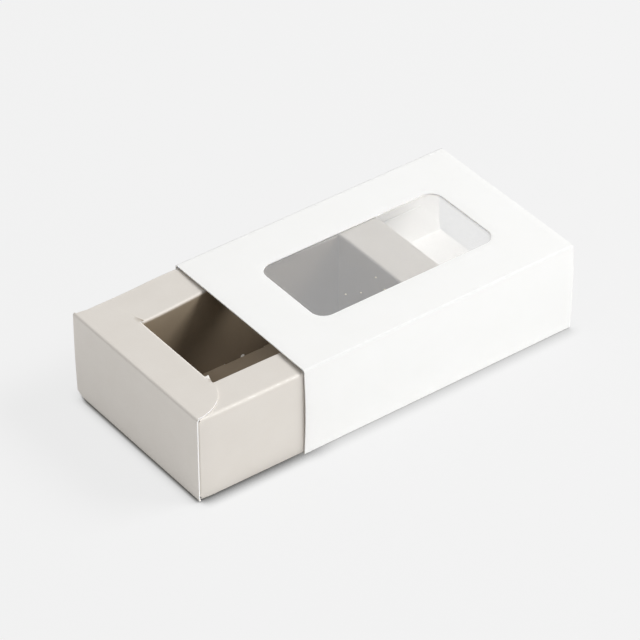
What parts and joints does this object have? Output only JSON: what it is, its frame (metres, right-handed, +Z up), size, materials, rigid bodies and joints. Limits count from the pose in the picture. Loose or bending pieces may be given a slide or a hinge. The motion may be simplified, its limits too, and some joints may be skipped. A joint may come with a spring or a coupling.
{
  "type": "slide box with a drawer tray",
  "caption": "Small folded-board slide box: a white sleeve with a film window over a pearl tray that pulls out like a drawer and frames a pocket.",
  "frame": {"origin": "middle of the sleeve's underside, on the surface that the box stands on", "axes": "+Y from the sleeve's mouth to its rear, so the tray pulls out towards -Y; +X to the right seen from the mouth; +Z up"},
  "size_m": [0.0618, 0.1329, 0.0302],
  "materials": {
    "white_board": "matte",
    "pearl_board": "satin",
    "clear_film": "gloss",
    "dried_glue": "satin"
  },
  "bodies": {
    "sleeve": {"sleeve_top_panel": "white_board", "sleeve_right_panel": "white_board", "sleeve_bottom_panel": "white_board", "sleeve_left_panel": "white_board", "sleeve_glue_flap": "white_board", "sleeve_seam_glue": "dried_glue", "window_film": "clear_film", "window_film_glue": "dried_glue"},
    "tray": {"tray_floor": "pearl_board", "tray_front_wall": "pearl_board", "tray_front_rim": "pearl_board", "tray_front_inner_wall": "pearl_board", "tray_rear_wall": "pearl_board", "tray_rear_rim": "pearl_board", "tray_rear_inner_wall": "pearl_board", "tray_left_wall": "pearl_board", "tray_left_rim": "pearl_board", "tray_left_inner_wall": "pearl_board", "tray_left_front_tab": "pearl_board", "tray_left_front_tab_glue": "dried_glue", "tray_left_front_ear_glue": "dried_glue", "tray_left_rear_tab": "pearl_board", "tray_left_rear_tab_glue": "dried_glue", "tray_left_rear_ear_glue": "dried_glue", "tray_right_wall": "pearl_board", "tray_right_rim": "pearl_board", "tray_right_inner_wall": "pearl_board", "tray_right_front_tab": "pearl_board", "tray_right_front_tab_glue": "dried_glue", "tray_right_front_ear_glue": "dried_glue", "tray_right_rear_tab": "pearl_board", "tray_right_rear_tab_glue": "dried_glue", "tray_right_rear_ear_glue": "dried_glue"}
  },
  "joints": [
    {"name": "tray_slide", "type": "slide", "parent": "sleeve", "child": "tray", "axis": [0, -1, 0], "range_m": [-0.0359, 0.0641]}
  ]
}
